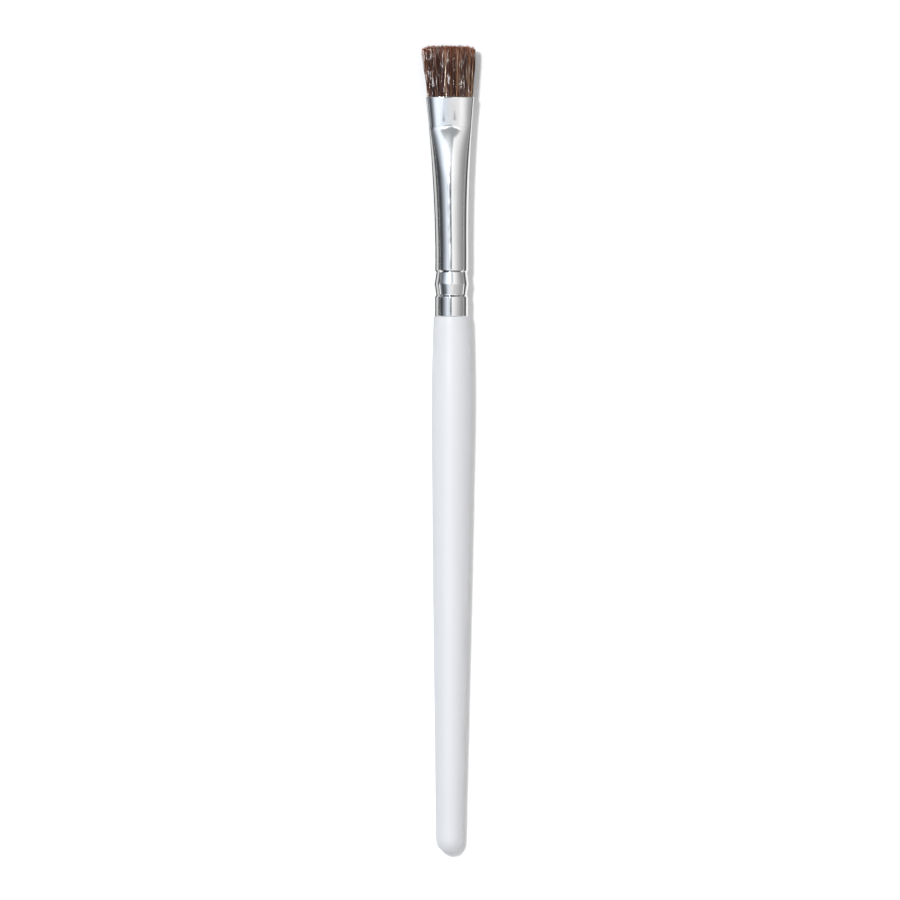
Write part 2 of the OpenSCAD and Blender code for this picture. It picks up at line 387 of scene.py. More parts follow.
def new_group(name, inputs, outputs):
    """Makes a shader node group with the given float inputs and outputs."""
    group = bpy.data.node_groups.new(name, "ShaderNodeTree")
    for label, default in inputs:
        socket = group.interface.new_socket(label, in_out="INPUT", socket_type="NodeSocketFloat")
        socket.default_value = default
    for label in outputs:
        group.interface.new_socket(label, in_out="OUTPUT", socket_type="NodeSocketFloat")
    return group, group.nodes.new("NodeGroupInput"), group.nodes.new("NodeGroupOutput")


def stretched_noise(group, scale, stretch, detail, roughness):
    """Noise on the object's own coordinates, stretched along the brush."""
    place = group.nodes.new("ShaderNodeTexCoord").outputs["Object"]
    factors = add_node(group, "ShaderNodeCombineXYZ", X=1.0, Y=stretch, Z=1.0)
    scaled = add_node(group, "ShaderNodeVectorMath", operation="MULTIPLY")
    group.links.new(place, scaled.inputs[0])
    group.links.new(factors.outputs[0], scaled.inputs[1])
    noise = add_node(group, "ShaderNodeTexNoise", Vector=scaled.outputs[0], Scale=scale,
                     Detail=detail, Roughness=roughness)
    return noise.outputs["Fac"]


def mottle_group():
    """Soft blotches, such as smudges in a polish: a value between Low and High."""
    name = "SoftMottle"
    if name in bpy.data.node_groups:
        return bpy.data.node_groups[name]
    group, given, result = new_group(
        name, [("Scale", 400.0), ("Stretch", 1.0), ("Low", 0.0), ("High", 1.0)], ["Value"])
    noise = stretched_noise(
        group, given.outputs["Scale"], given.outputs["Stretch"], detail=3.0, roughness=0.55)
    spread = add_node(group, "ShaderNodeMapRange", Value=noise, From_Min=0.3,
                      From_Max=0.7, To_Min=given.outputs["Low"], To_Max=given.outputs["High"])
    group.links.new(spread.outputs[0], result.inputs["Value"])
    return group


SCRATCH_SHARPNESS = 8.0


def scratch_group():
    """Fine scratches that run along the brush: a height between 0 and Depth."""
    name = "FineScratches"
    if name in bpy.data.node_groups:
        return bpy.data.node_groups[name]
    group, given, result = new_group(
        name, [("Density", 6000.0), ("Length", 0.02), ("Depth", 1.0)], ["Height"])
    noise = stretched_noise(
        group, given.outputs["Density"], given.outputs["Length"], detail=2.0, roughness=0.6)
    ridge = add_math(group, "ABSOLUTE", add_math(group, "SUBTRACT", noise, 0.5))
    groove = add_math(
        group, "SUBTRACT", 1.0, add_math(group, "MULTIPLY", ridge, SCRATCH_SHARPNESS))
    kept = add_math(group, "MAXIMUM", groove, 0.0)
    group.links.new(add_math(group, "MULTIPLY", kept, given.outputs["Depth"]),
                    result.inputs["Height"])
    return group


def use_group(tree, group, **values):
    node = tree.nodes.new("ShaderNodeGroup")
    node.node_tree = group
    for name, value in values.items():
        node.inputs[name].default_value = value
    return node


def mottle(tree, scale, stretch, low=0.0, high=1.0):
    """Uses the soft blotches and returns their value."""
    group = use_group(
        tree, mottle_group(), Scale=scale, Stretch=stretch, Low=low, High=high)
    return group.outputs["Value"]


def new_material(name):
    """Makes an empty node material and returns it with its tree and its surface shader."""
    material = bpy.data.materials.new(name)
    material.use_nodes = True
    tree = material.node_tree
    return material, tree, tree.nodes["Principled BSDF"]


def set_bump(tree, shader, height, distance):
    bump = add_node(tree, "ShaderNodeBump", Height=height, Distance=distance, Strength=1.0)
    tree.links.new(bump.outputs["Normal"], shader.inputs["Normal"])


# How bright the lacquer stays where it is darkest, and the height of its ripple
LACQUER_SHADE = 0.985
LACQUER_RIPPLE = 0.003 * MM


def lacquer_material(colour):
    """White lacquer over wood: soft gloss, with a faint ripple and slight unevenness of tone."""
    material, tree, shader = new_material("WhiteLacquer")
    darker = tuple(LACQUER_SHADE * c for c in colour)
    tone = mottle(tree, scale=260.0, stretch=0.25)
    feed(tree, shader.inputs["Base Color"], add_mix(tree, tone, darker, tuple(colour)))
    polish = mottle(tree, scale=500.0, stretch=0.3, low=0.44, high=0.54)
    feed(tree, shader.inputs["Roughness"], polish)
    set_bump(tree, shader, mottle(tree, scale=500.0, stretch=0.3), LACQUER_RIPPLE)
    return material


# How bright the metal stays in its dullest smudges, and how far its colour is darkened in the press
# dents as painted shade
SMUDGE_SHADE = 0.94
DENT_PAINTED_SHADE = 0.5
SCRATCH_DEPTH = 0.0002 * MM


def metal_material(colour):
    """Polished aluminium with smudges in its polish, fine scratches along it and painted shade in
    the press dents.
    """
    material, tree, shader = new_material("PolishedAluminium")
    shader.inputs["Metallic"].default_value = 1.0
    duller = tuple(SMUDGE_SHADE * c for c in colour)
    clean = add_mix(tree, mottle(tree, scale=500.0, stretch=0.3), duller, tuple(colour))
    # Painted shade: the metal's colour is darkened in the two press dents
    dent_and_painted_shade = add_node(tree, "ShaderNodeAttribute", attribute_name="dent_and_painted_shade").outputs["Fac"]
    painted_dent_shade = tuple(DENT_PAINTED_SHADE * c for c in colour)
    feed(tree, shader.inputs["Base Color"], add_mix(tree, dent_and_painted_shade, clean, painted_dent_shade))
    polish = mottle(tree, scale=1100.0, stretch=0.35, low=0.06, high=0.13)
    feed(tree, shader.inputs["Roughness"], polish)
    scratches = use_group(tree, scratch_group(), Density=7000.0, Length=0.03, Depth=1.0)
    set_bump(tree, shader, scratches.outputs["Height"], SCRATCH_DEPTH)
    return material


# The cut end: how much brighter each colour gets, the tint that it moves to and by how much,
# and how closely the change keeps to the end
TIP_GAIN = (2.4, 1.7, 1.4)
TIP_TINT = (0.42, 0.17, 0.075)
TIP_TINT_SHARE = 0.2
TIP_POWER = 7.0
HAIR_SPECULAR = 0.34
HAIR_GRAIN = 0.002 * MM


def hair_material(s):
    """Brown hair, each hair with a tone of its own, paler and redder at the cut end."""
    material, tree, shader = new_material("BrownHair")
    tone = add_node(tree, "ShaderNodeAttribute", attribute_name="tone").outputs["Fac"]
    reach = add_node(tree, "ShaderNodeAttribute", attribute_name="reach").outputs["Fac"]
    streak = mottle(tree, scale=1600.0, stretch=0.3, low=-0.12, high=0.12)
    varied = add_math(tree, "ADD", tone, streak)
    brown = add_ramp(tree, varied, [(0.0, tuple(s.dark)), (0.5, tuple(s.middle)),
                                    (1.0, tuple(s.pale))])
    brighter = add_mix(tree, 1.0, brown, TIP_GAIN, "MULTIPLY")
    redder = add_mix(tree, TIP_TINT_SHARE, brighter, TIP_TINT)
    tip = add_math(tree, "POWER", reach, TIP_POWER)
    feed(tree, shader.inputs["Base Color"], add_mix(tree, tip, brown, redder))
    shader.inputs["Specular IOR Level"].default_value = HAIR_SPECULAR
    gloss = mottle(tree, scale=900.0, stretch=0.5, low=0.1, high=0.22)
    feed(tree, shader.inputs["Roughness"], gloss)
    set_bump(tree, shader, streak, HAIR_GRAIN)
    return material


DARK_AMBER = (0.42, 0.27, 0.1)
AMBER = (0.62, 0.45, 0.2)


def adhesive_material():
    """Cured amber adhesive with a cloudy depth."""
    material, tree, shader = new_material("CuredAdhesive")
    cloud = mottle(tree, scale=700.0, stretch=1.0)
    feed(tree, shader.inputs["Base Color"], add_mix(tree, cloud, DARK_AMBER, AMBER))
    gloss = mottle(tree, scale=1500.0, stretch=1.0, low=0.15, high=0.35)
    feed(tree, shader.inputs["Roughness"], gloss)
    return material


# Pieces

HANDLE_SIDES = 160
RINGS_PER_MM = 2.2
ROUND_STEPS = 16
TENON_RINGS = 90
FERRULE_SIDES = 256
TENON_CHAMFER = 0.5 * MM


def handle_outline(s, form):
    """Radius and height along the handle, from the tenon's end to the end of the butt."""
    inset = form.s.wall + FIT_GAP
    tenon_h = np.linspace(s.tenon - TENON_CHAMFER, 0, TENON_RINGS)
    tenon_r = form.radius - inset + np.minimum(0, form.crimp_rise(tenon_h))
    turn = np.linspace(0, math.pi / 2, ROUND_STEPS)
    edge = handle_radius(s, np.array([s.shoulder_round]))[0] - s.shoulder_round
    butt_from = s.length - s.butt_round
    body = np.linspace(s.shoulder_round, butt_from, int(butt_from / MM * RINGS_PER_MM))[1:]
    radius = np.concatenate([
        [form.radius - inset - TENON_CHAMFER], tenon_r,
        edge + s.shoulder_round * np.sin(turn), handle_radius(s, body),
        s.butt / 2 * np.cos(turn[1:-1])])
    height = np.concatenate([
        [s.tenon], tenon_h, -s.shoulder_round * (1 - np.cos(turn)), -body,
        -butt_from - s.butt_round * np.sin(turn[1:-1])])
    return radius, height


class BRUSH_OT_handle(bpy.types.Operator):
    """Build the lacquered handle"""

    bl_idname = "brush.handle"
    bl_label = "Handle"

    def execute(self, context):
        s = context.scene.brush_handle
        form = FerruleForm(context.scene.brush_ferrule, s.tenon)
        radius, height = handle_outline(s, form)
        a = directions(HANDLE_SIDES)
        rings = np.stack([
            radius[::-1, None] * np.cos(a), radius[::-1, None] * np.sin(a),
            height[::-1, None] + 0 * a], axis=-1)
        count = len(radius)
        ends = np.array([[0, 0, -s.length], [0, 0, s.tenon]])
        points = np.concatenate([rings.reshape(-1, 3), ends])
        foot, head = count * HANDLE_SIDES, count * HANDLE_SIDES + 1
        last = (count - 1) * HANDLE_SIDES
        faces = grid_faces(count, HANDLE_SIDES)
        for i in range(HANDLE_SIDES):
            j = (i + 1) % HANDLE_SIDES
            faces.append([foot, j, i])
            faces.append([head, last + i, last + j])
        piece = add_piece("handle_body", points, faces, lacquer_material(s.colour))
        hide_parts("handle")
        return {"FINISHED"}


# Two strokes that the press left above the crease: where they are across the ferrule, the
# heights between which they rise and fade, their half width and their depth
PRESS_STROKES = (-1.23 * MM, 0.8 * MM)
STROKE_RISE = (36.0 * MM, 36.5 * MM)
STROKE_FADE = (36.7 * MM, 38.5 * MM)
STROKE_HALF_WIDTH = 0.24 * MM
STROKE_DEPTH = 0.008 * MM
# Rings of the ferrule's outside on the tube, the flare, the band and the rim. Inside there is
# one for every few of the tube's, and their own number beyond it.
TUBE_RINGS = 100
FLARE_RINGS = 120
BAND_RINGS = 36
RIM_RINGS = 7
INSIDE_EVERY = 3
INSIDE_FLARE_RINGS = 40


class BRUSH_OT_ferrule(bpy.types.Operator):
    """Build the crimped and flattened ferrule"""

    bl_idname = "brush.ferrule"
    bl_label = "Ferrule"

    def execute(self, context):
        s = context.scene.brush_ferrule
        form = FerruleForm(s, context.scene.brush_handle.tenon)
        a = directions(FERRULE_SIDES)
        low = np.linspace(0, form.tenon, TUBE_RINGS)
        outer = [form.points(a, h + 0 * a, 0) for h in low]
        inner = [form.points(a, h + 0 * a, s.wall) for h in low[::INSIDE_EVERY]]
        crease = form.crease_height(a)
        for u in np.linspace(0, 1, FLARE_RINGS)[1:]:
            outer.append(form.points(a, form.tenon + (crease - form.tenon) * u, 0))
        rim_foot = s.length - RIM_LENGTH
        for u in np.linspace(0, 1, BAND_RINGS)[1:]:
            outer.append(form.points(a, crease + (rim_foot - crease) * u, 0))
        for turn in np.linspace(0, math.pi / 2, RIM_RINGS)[1:]:
            height = rim_foot + RIM_LENGTH * math.sin(turn) + 0 * a
            outer.append(form.points(a, height, RIM_DEPTH * (1 - math.cos(turn))))
        for u in np.linspace(0, 1, INSIDE_FLARE_RINGS)[1:]:
            inner.append(form.points(a, form.tenon + (s.length - form.tenon) * u, s.wall))
        points = np.array(outer + inner[::-1])
        height = points[..., 2]
        dent_and_painted_shade = np.zeros(height.shape)
        for x in PRESS_STROKES:
            apart = points[..., 0] - form.lean(height) - x
            dent_and_painted_shade += np.exp(-(apart / STROKE_HALF_WIDTH) ** 2)
        dent_and_painted_shade *= share(height, *STROKE_RISE) * (1 - share(height, *STROKE_FADE))
        points[..., 1] -= STROKE_DEPTH * dent_and_painted_shade * np.sign(points[..., 1])
        faces = grid_faces(len(points), FERRULE_SIDES, closed=True)
        piece = add_piece("ferrule_shell", points, faces, metal_material(s.colour))
        # Painted shade: the dents' mask also darkens the metal's colour
        set_attribute(piece, "dent_and_painted_shade", dent_and_painted_shade)
        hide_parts("ferrule")
        return {"FINISHED"}


# How far the hairs start below the mouth, and how deep the outer hairs go into the tuft
HAIR_START = 2.0 * MM
OUTER_DEPTH = 0.3 * MM
OUTER_RINGS = 36
INNER_RINGS = 8
OUTER_SIDES = 6
INNER_SIDES = 4
ROOT_SIDES = 96
ROOT_RINGS = 24
ROOT_TONE = 0.2
# Waves in the hairs: least and greatest height and length
WAVE_HEIGHT = (0.03 * MM, 0.12 * MM)
WAVE_LENGTH = (3.0 * MM, 6.2 * MM)
# Share of the hairs that are flat, how flat and how much wider they are, and how they are
# turned, in radians
FLAT_SHARE = 0.34
FLATNESS = 0.1
FLAT_WIDTH = 1.5
FLAT_TURN = (-0.12, 0.07)
# Share of the width beyond which hairs at the left edge may stand off, and how far
STRAY_EDGE = 0.9
STRAY_REACH = (0.05 * MM, 0.3 * MM)
STRAY_SHARE = 0.3
# How far a hair may stand from its place in the rows, as a share of the spacing
JITTER = 0.3
# Share of the way to its lock's middle that a hair's end goes
GATHER = (0.25, 0.7)
# Spreads from lock to lock and from hair to hair, in millimetres: bow, splay and ends
LOCK_BEND, HAIR_BEND = 0.07, 0.035
HAIR_SPLAY = 0.07
LOCK_UNEVEN, HAIR_UNEVEN = 0.04, 0.18
# Share of the hairs that are shorter, and by how many millimetres
SHORT_SHARE = 0.1
SHORT_BY = (0.1, 1.0)
CORNER_POWER = 6
# How waves differ within a lock: their height, as a factor, and where they start, in radians
WAVE_VARIES = (0.75, 1.25)
WAVE_SHIFT = 0.2
# How far waves also go sideways, and the share of the length in which they set in
WAVE_SIDEWAYS = 0.4
WAVE_SETS_IN = 0.15
# Tone, from 0 for dark to 1 for pale: its middle, its spreads, and what makes some hairs paler
TONE_MIDDLE = 0.22
LOCK_TONE, HAIR_TONE = 0.18, 0.16
PALE_SHARE = 0.16
PALER = (0.3, 0.8)
LEFT_EDGE = 0.86
LEFT_EDGE_PALER = 0.32
# Factor on a hair's diameter, and how it thins towards its end
HAIR_VARIES = (0.75, 1.15)
HAIR_THINS = 0.75
THINNING_POWER = 9


def hair_places(s, ferrule, rng):
    """Places of the hairs in the mouth, as shares of its half width and half thickness."""
    half_w = ferrule.mouth_width / 2 - ferrule.wall - s.hair / 2
    half_t = ferrule.mouth_thickness / 2 - ferrule.wall - s.hair / 2
    row_step = s.spacing * math.sqrt(3) / 2
    rows = np.arange(-half_t, half_t, row_step)
    columns = np.arange(-half_w, half_w, s.spacing)
    x, y = np.meshgrid(columns, rows)
    x = x + (np.arange(len(rows)) % 2)[:, None] * s.spacing / 2
    x = x + rng.uniform(-JITTER, JITTER, x.shape) * s.spacing
    y = y + rng.uniform(-JITTER, JITTER, y.shape) * s.spacing
    u, v = (x / half_w).ravel(), (y / half_t).ravel()
    inside = np.abs(u) ** ferrule.squareness + np.abs(v) ** ferrule.squareness <= 1
    return u[inside], v[inside], half_w, half_t


class HairForm:
    """All hairs of the tuft: where each stands, how it bends, and its tone."""

    def __init__(self, s, ferrule, form):
        rng = np.random.default_rng(s.seed)
        self.s, self.ferrule, self.form = s, ferrule, form
        u, v, half_w, half_t = hair_places(s, ferrule, rng)
        self.u, self.v, self.half_w, self.half_t = u, v, half_w, half_t
        count = len(u)
        # Each hair belongs to the nearest lock, and bends and waves with it
        lock_u, lock_v = rng.uniform(-1, 1, s.locks), rng.uniform(-1, 1, s.locks)
        apart = ((u[:, None] - lock_u) * half_w) ** 2 + ((v[:, None] - lock_v) * half_t) ** 2
        lock = apart.argmin(axis=1)
        self.to_lock = np.stack([lock_u[lock] - u, lock_v[lock] - v], axis=-1)
        self.gather = rng.uniform(*GATHER, s.locks)[lock]
        self.bend = (rng.normal(0, LOCK_BEND, (s.locks, 2))[lock]
                     + rng.normal(0, HAIR_BEND, (count, 2))) * MM
        self.splay = rng.normal(0, HAIR_SPLAY, (count, 2)) * MM
        self.wave_height = (rng.uniform(*WAVE_HEIGHT, s.locks)[lock]
                            * rng.uniform(*WAVE_VARIES, count))
        self.wave_length = rng.uniform(*WAVE_LENGTH, s.locks)[lock]
        self.wave_start = (rng.uniform(0, 2 * math.pi, s.locks)[lock]
                           + rng.normal(0, WAVE_SHIFT, count))
        self.uneven = (rng.normal(0, LOCK_UNEVEN, s.locks)[lock]
                       + rng.normal(0, HAIR_UNEVEN, count)) * MM
        self.uneven -= s.corner_drop * np.abs(u) ** CORNER_POWER
        self.uneven -= (rng.random(count) < SHORT_SHARE) * rng.uniform(*SHORT_BY, count) * MM
        stray = (u < -STRAY_EDGE) & (rng.random(count) < STRAY_SHARE)
        self.splay[:, 0] -= stray * rng.uniform(*STRAY_REACH, count)
        self.tone = (TONE_MIDDLE + rng.normal(0, LOCK_TONE, s.locks)[lock]
                     + rng.normal(0, HAIR_TONE, count))
        self.tone += (rng.random(count) < PALE_SHARE) * rng.uniform(*PALER, count)
        self.tone += LEFT_EDGE_PALER * share(-u, LEFT_EDGE, 1.0)
        self.radius = s.hair / 2 * rng.uniform(*HAIR_VARIES, count)
        flat = rng.random(count) < FLAT_SHARE
        self.flatness = np.where(flat, FLATNESS, 1.0)
        self.radius *= np.where(flat, FLAT_WIDTH, 1.0)
        self.turn = rng.normal(*FLAT_TURN, count)
        edge = 1 - (np.abs(u) ** ferrule.squareness + np.abs(v) ** ferrule.squareness) ** (
            1 / ferrule.squareness)
        self.outer = edge * half_t < OUTER_DEPTH

    def lines(self, chosen, rings):
        """Middle lines and radii of the chosen hairs, and how far out each point is."""
        s = self.s
        t = np.linspace(-HAIR_START / s.length, 1, rings)[None, :]
        free = np.maximum(t, 0) + np.zeros((chosen.sum(), 1))
        wide = self.half_w + (s.width / 2 - s.hair / 2 - self.half_w) * free
        thick = self.half_t + (s.thickness / 2 - s.hair / 2 - self.half_t) * free
        pull = self.gather[chosen, None] * free**2
        to_lock = self.to_lock[chosen]
        x = (self.u[chosen, None] + to_lock[:, :1] * pull) * wide
        y = (self.v[chosen, None] + to_lock[:, 1:] * pull) * thick
        bow = np.sin(math.pi * free)
        turn = (2 * math.pi * free * s.length / self.wave_length[chosen, None]
                + self.wave_start[chosen, None])
        wave = self.wave_height[chosen, None] * np.sin(turn) * share(free, 0, WAVE_SETS_IN)
        bend, splay = self.bend[chosen], self.splay[chosen]
        x = x + bend[:, :1] * bow + splay[:, :1] * free**2 + WAVE_SIDEWAYS * wave
        y = y + bend[:, 1:] * bow + splay[:, 1:] * free**2 + wave
        x = x + self.form.lean(self.ferrule.length) - math.tan(s.lean) * s.length * free
        z = self.ferrule.length + s.length * t + self.uneven[chosen, None] * free**2
        radii = self.radius[chosen, None] * (1 - HAIR_THINS * free**THINNING_POWER)
        return np.stack([x, y, z], axis=-1), radii, free


def hair_tubes(paths, radii, flatness, turn, sides):
    """Closed tubes round a set of middle lines, some flat and turned: points and faces."""
    count, rings = paths.shape[:2]
    a = directions(sides)
    wide, deep = np.cos(a) + 0 * flatness[:, None], np.sin(a) * flatness[:, None]
    turn = turn[:, None]
    offset = np.stack([wide * np.cos(turn) - deep * np.sin(turn),
                       wide * np.sin(turn) + deep * np.cos(turn), 0 * wide], axis=-1)
    points = paths[:, :, None, :] + radii[:, :, None, None] * offset[:, None]
    one = np.array(grid_faces(rings, sides))
    step = rings * sides
    quads = (one[None] + (np.arange(count) * step)[:, None, None]).reshape(-1, 4).tolist()
    foot = np.arange(sides)[::-1]
    head = (rings - 1) * sides + np.arange(sides)
    for k in range(count):
        quads.append((foot + k * step).tolist())
        quads.append((head + k * step).tolist())
    return points.reshape(-1, 3), quads


class BRUSH_OT_tuft(bpy.types.Operator):
    """Build the tuft of hair with its root"""

    bl_idname = "brush.tuft"
    bl_label = "Tuft"

    def execute(self, context):
        s = context.scene.brush_tuft
        ferrule = context.scene.brush_ferrule
        form = FerruleForm(ferrule, context.scene.brush_handle.tenon)
        hairs = HairForm(s, ferrule, form)
        material = hair_material(s)
        for name, chosen, rings, sides in (
            ("hair_front", hairs.outer & (hairs.v < 0), OUTER_RINGS, OUTER_SIDES),
            ("hair_back", hairs.outer & (hairs.v >= 0), OUTER_RINGS, OUTER_SIDES),
            ("hair_inner", ~hairs.outer, INNER_RINGS, INNER_SIDES),
        ):
            paths, radii, free = hairs.lines(chosen, rings)
            points, faces = hair_tubes(
                paths, radii, hairs.flatness[chosen], hairs.turn[chosen], sides)
            piece = add_piece(name, points, faces, material)
            set_attribute(piece, "tone", np.repeat(hairs.tone[chosen], rings * sides))
            set_attribute(piece, "reach", np.repeat(free.ravel(), sides))
            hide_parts("bristles")
        self.add_root(s, ferrule, form, material)
        return {"FINISHED"}

    def add_root(self, s, ferrule, form, material):
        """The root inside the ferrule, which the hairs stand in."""
        a = directions(ROOT_SIDES)
        heights = np.linspace(ferrule.length - s.root, ferrule.length - HAIR_START / 2,
                              ROOT_RINGS)
        rings = np.array([form.points(a, h + 0 * a, ferrule.wall + FIT_GAP) for h in heights])
        last = (len(heights) - 1) * ROOT_SIDES
        faces = grid_faces(len(heights), ROOT_SIDES)
        faces.append(list(range(ROOT_SIDES))[::-1])
        faces.append([last + i for i in range(ROOT_SIDES)])
        piece = add_piece("hair_root", rings, faces, material)
        set_attribute(piece, "tone", np.full(len(heights) * ROOT_SIDES, ROOT_TONE))
        set_attribute(piece, "reach", np.zeros(len(heights) * ROOT_SIDES))
        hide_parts("bristles")


class BRUSH_OT_adhesive(bpy.types.Operator):
    """Give the adhesive plug inside the ferrule its material"""

    bl_idname = "brush.adhesive"
    bl_label = "Adhesive"

    def execute(self, context):
        plug = frame["nodes"]["root_glue"]
        plug.data.materials.clear()
        plug.data.materials.append(adhesive_material())
        return {"FINISHED"}


# Stage

# Soft light across the brush: angle from straight up, to the right, and brightness there
STUDIO_LIGHT = (
    (-100, 0.13), (-92, 0.10), (-82, 0.07), (-73, 0.045), (-65, 0.11), (-57, 0.24),
    (-49, 0.40), (-41, 0.53), (-33, 0.84), (-26, 0.86), (-19, 0.66), (-12, 0.62),
    (-1, 0.96), (8, 1.08), (14, 0.91), (22, 0.85), (29, 0.74), (36, 0.68), (43, 0.56),
    (51, 0.50), (58, 0.42), (66, 0.37), (75, 0.32), (84, 0.28), (100, 0.28),
)
# The same for light that comes from low down behind the butt
STUDIO_BACK = (
    (-100, 0.12), (-75, 0.06), (-56, 0.09), (-48, 0.13), (-40, 0.22), (-33, 0.50),
    (-26, 0.80), (0, 0.88), (9, 0.83), (16, 0.66), (30, 0.61), (45, 0.50), (61, 0.39),
    (78, 0.30), (87, 0.27), (100, 0.30),
)
# The same for light that the wedge of the ferrule shows
STUDIO_WEDGE = (
    (-100, 0.30), (-92, 0.26), (-82, 0.22), (-76, 0.18), (-68, 0.19), (-60, 0.33), (-53, 0.48),
    (-46, 0.72), (-40, 0.95), (-33, 1.10), (-26, 1.10), (-19, 1.0), (-12, 0.95), (-1, 1.15),
    (8, 1.25), (14, 1.08), (22, 0.98), (29, 0.84), (36, 0.76), (43, 0.62), (51, 0.52),
    (58, 0.43), (66, 0.37), (75, 0.32), (84, 0.28), (100, 0.28),
)
# The same for light that comes from beyond the hair
STUDIO_FRONT = (
    (-100, 0.10), (-68, 0.12), (-60, 0.24), (-52, 0.44), (-46, 0.58), (-38, 0.62), (-24, 0.62),
    (-18, 0.50), (0, 0.44), (16, 0.44), (21, 0.58), (30, 0.63), (45, 0.66), (50, 0.60),
    (60, 0.45), (75, 0.35), (94, 0.25), (100, 0.25),
)
# The same for light on the flat band, which faces a little backwards
STUDIO_BAND = (
    (-100, 0.60), (-90, 0.45), (-77, 0.16), (-67, 0.06), (-60, 0.11), (-52, 0.24), (-46, 0.38),
    (-41, 0.62), (-36, 0.93), (-30, 1.07), (-21, 1.05), (-15, 0.88), (-10, 0.82), (-3, 0.86),
    (1, 0.80), (7, 0.79), (13, 0.86), (18, 1.0), (23, 1.02), (28, 0.95), (37, 0.78), (42, 0.66),
    (48, 0.56), (66, 0.40), (94, 0.33), (100, 0.33),
)
LEFT_TINT = (0.925, 1.0, 1.1)
RIGHT_TINT = (1.01, 1.0, 0.995)
# Angles along the brush at which the lights behind, on the band, on the wedge and in front
# take over
BACK_FROM = (-16, -12.5)
BAND_FROM = (-2.0, -1.2)
WEDGE_FROM = (1.0, 5.0)
FRONT_FROM = (23.5, 25.5)
# The lights end at these angles to either side of straight up, and what is left beyond
LIGHT_ENDS = (30, 45)
BEYOND_ENDS = 0.38
# The dark gap overhead between the two soft lights. Its right edge moves to the right by this
# many degrees for each degree along the brush, and its left edge to the left between two angles.
GAP_FROM = -1.4
GAP_RIGHT = 0.6
GAP_SLANT = 0.63
GAP_LEFT = (-11.0, -25.0)
GAP_LEFT_ALONG = (16.0, 25.0)
GAP_EDGE = 0.8
GAP_LEFT_EDGE = 2.0
GAP_TINT = (0.955, 1.0, 1.035)
# Its brightness along the brush, at its left edge and at its right edge
GAP_BRIGHTNESS = (
    (-2, 0.15), (1, 0.18), (5.5, 0.60), (8, 0.82), (14, 0.92), (19.4, 0.78), (24.8, 0.60),
    (28, 0.41),
)
GAP_BRIGHTNESS_RIGHT = (
    (-2, 0.15), (1, 0.18), (5.5, 0.55), (8, 0.76), (14, 0.74), (19.4, 0.44), (24.8, 0.32),
    (28, 0.38),
)
RAMP_LIMIT = 100.0
ALONG_LIMIT = 30.0


def smooth_step(tree, value, low, high):
    node = add_node(tree, "ShaderNodeMapRange", Value=value, From_Min=low, From_Max=high)
    node.interpolation_type = "SMOOTHSTEP"
    return node.outputs[0]


def angle_ramp(tree, angle, limit, stops, tints):
    """Colours over an angle, with one tint for angles below zero and one for the others."""
    place = add_node(tree, "ShaderNodeMapRange", Value=angle, From_Min=-limit, From_Max=limit)
    colours = []
    for at, brightness in stops:
        tint = tints[0] if at < 0 else tints[1]
        colours.append(((at + limit) / (2 * limit), tuple(brightness * c for c in tint)))
    return add_ramp(tree, place.outputs[0], colours)


def add_gap(tree, light, across, along):
    """The dark gap overhead, laid over the light."""
    ahead = add_math(tree, "MAXIMUM", along, 0.0)
    right = add_math(tree, "MULTIPLY_ADD", ahead, GAP_SLANT, GAP_RIGHT)
    left = add_node(tree, "ShaderNodeMapRange", Value=along, From_Min=GAP_LEFT_ALONG[0],
                    From_Max=GAP_LEFT_ALONG[1], To_Min=GAP_LEFT[0], To_Max=GAP_LEFT[1]).outputs[0]
    from_left = add_math(tree, "SUBTRACT", across, left)
    to_right = add_math(tree, "SUBTRACT", right, across)
    inside = add_math(tree, "MULTIPLY", smooth_step(tree, from_left, -GAP_LEFT_EDGE, GAP_LEFT_EDGE),
                      smooth_step(tree, to_right, -GAP_EDGE, GAP_EDGE))
    begun = smooth_step(tree, along, GAP_FROM - GAP_EDGE, GAP_FROM + GAP_EDGE)
    part = add_math(tree, "DIVIDE", from_left, add_math(tree, "SUBTRACT", right, left))
    part = add_math(tree, "POWER", add_math(tree, "MAXIMUM", part, 0.0), 2.0)
    dark = add_mix(tree, part, *(
        angle_ramp(tree, along, ALONG_LIMIT, stops, (GAP_TINT, GAP_TINT))
        for stops in (GAP_BRIGHTNESS, GAP_BRIGHTNESS_RIGHT)))
    return add_mix(tree, add_math(tree, "MULTIPLY", inside, begun), light, dark)


